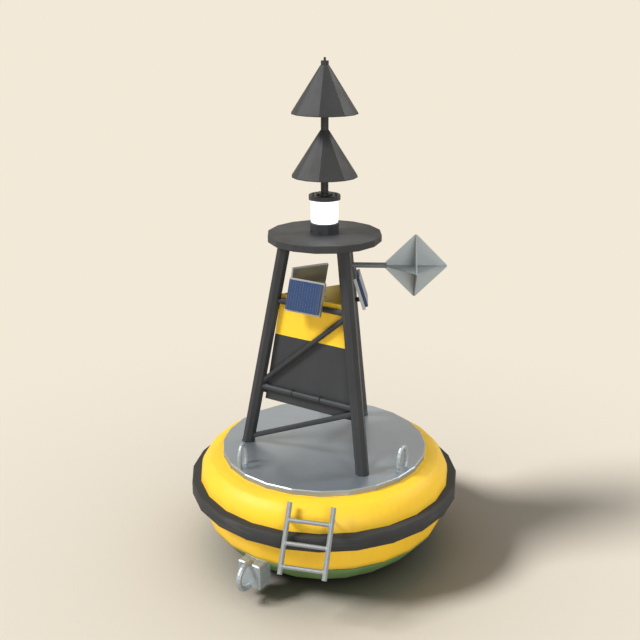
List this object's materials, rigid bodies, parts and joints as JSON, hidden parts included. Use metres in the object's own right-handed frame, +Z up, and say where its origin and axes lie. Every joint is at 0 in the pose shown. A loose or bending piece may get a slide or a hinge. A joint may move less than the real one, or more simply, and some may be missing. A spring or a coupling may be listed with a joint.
{
  "type": "navigation buoy",
  "caption": "Round decked navigation buoy with a fender belt, a three-legged lattice tower, daymark boards, solar panels, radar reflector, lantern and two cone topmarks.",
  "frame": {"origin": "centre of the hull's flat base", "axes": "+Z up along the tower's axis; +X towards the radar reflector; one tower leg stands on the -X side"},
  "size_m": [3, 3.3216, 5.4324],
  "materials": {
    "hull_yellow": "satin marine paint",
    "hull_green": "matt antifouling paint",
    "fender": "matt",
    "deck_plate": "satin grey",
    "tower_black": "satin black",
    "platform_black": "satin black",
    "daymark_yellow": "satin",
    "daymark_black": "satin",
    "topmark_black": "satin",
    "lantern_body": "satin",
    "lantern_lens": "lit, frosted",
    "solar_frame": "anodised",
    "solar_glass": "glossy cells under glass",
    "galvanised_steel": "galvanised",
    "reflector_plate": "satin"
  },
  "bodies": {
    "root": {"daymark_lower_1": "daymark_black", "daymark_lower_2": "daymark_black", "daymark_lower_3": "daymark_black", "daymark_upper_1": "daymark_yellow", "daymark_upper_2": "daymark_yellow", "daymark_upper_3": "daymark_yellow", "deck_plate": "deck_plate", "diagonal_lower_1": "tower_black", "diagonal_lower_2": "tower_black", "diagonal_lower_3": "tower_black", "diagonal_upper_1": "tower_black", "diagonal_upper_2": "tower_black", "diagonal_upper_3": "tower_black", "fender": "fender", "hull_bottom": "hull_green", "hull_lower": "hull_yellow", "hull_upper": "hull_yellow", "ladder_rail_left": "galvanised_steel", "ladder_rail_right": "galvanised_steel", "ladder_rung_1": "galvanised_steel", "ladder_rung_2": "galvanised_steel", "ladder_rung_3": "galvanised_steel", "lantern_base": "lantern_body", "lantern_cap": "lantern_body", "lantern_lens": "lantern_lens", "lifting_eye_1": "galvanised_steel", "lifting_eye_2": "galvanised_steel", "lifting_eye_3": "galvanised_steel", "mooring_bracket_1": "galvanised_steel", "mooring_bracket_2": "galvanised_steel", "mooring_eye_1": "galvanised_steel", "mooring_eye_2": "galvanised_steel", "platform": "platform_black", "radar_reflector": "reflector_plate", "reflector_arm": "galvanised_steel", "reflector_crossbar": "tower_black", "ring_lower_1": "tower_black", "ring_lower_2": "tower_black", "ring_lower_3": "tower_black", "ring_upper_1": "tower_black", "ring_upper_2": "tower_black", "ring_upper_3": "tower_black", "solar_bracket_1": "tower_black", "solar_bracket_2": "tower_black", "solar_bracket_3": "tower_black", "solar_frame_1": "solar_frame", "solar_frame_2": "solar_frame", "solar_frame_3": "solar_frame", "solar_glass_1": "solar_glass", "solar_glass_2": "solar_glass", "solar_glass_3": "solar_glass", "topmark_cone_1": "topmark_black", "topmark_cone_2": "topmark_black", "topmark_spindle": "topmark_black", "tower_leg_1": "tower_black", "tower_leg_2": "tower_black", "tower_leg_3": "tower_black"}
  },
  "joints": []
}
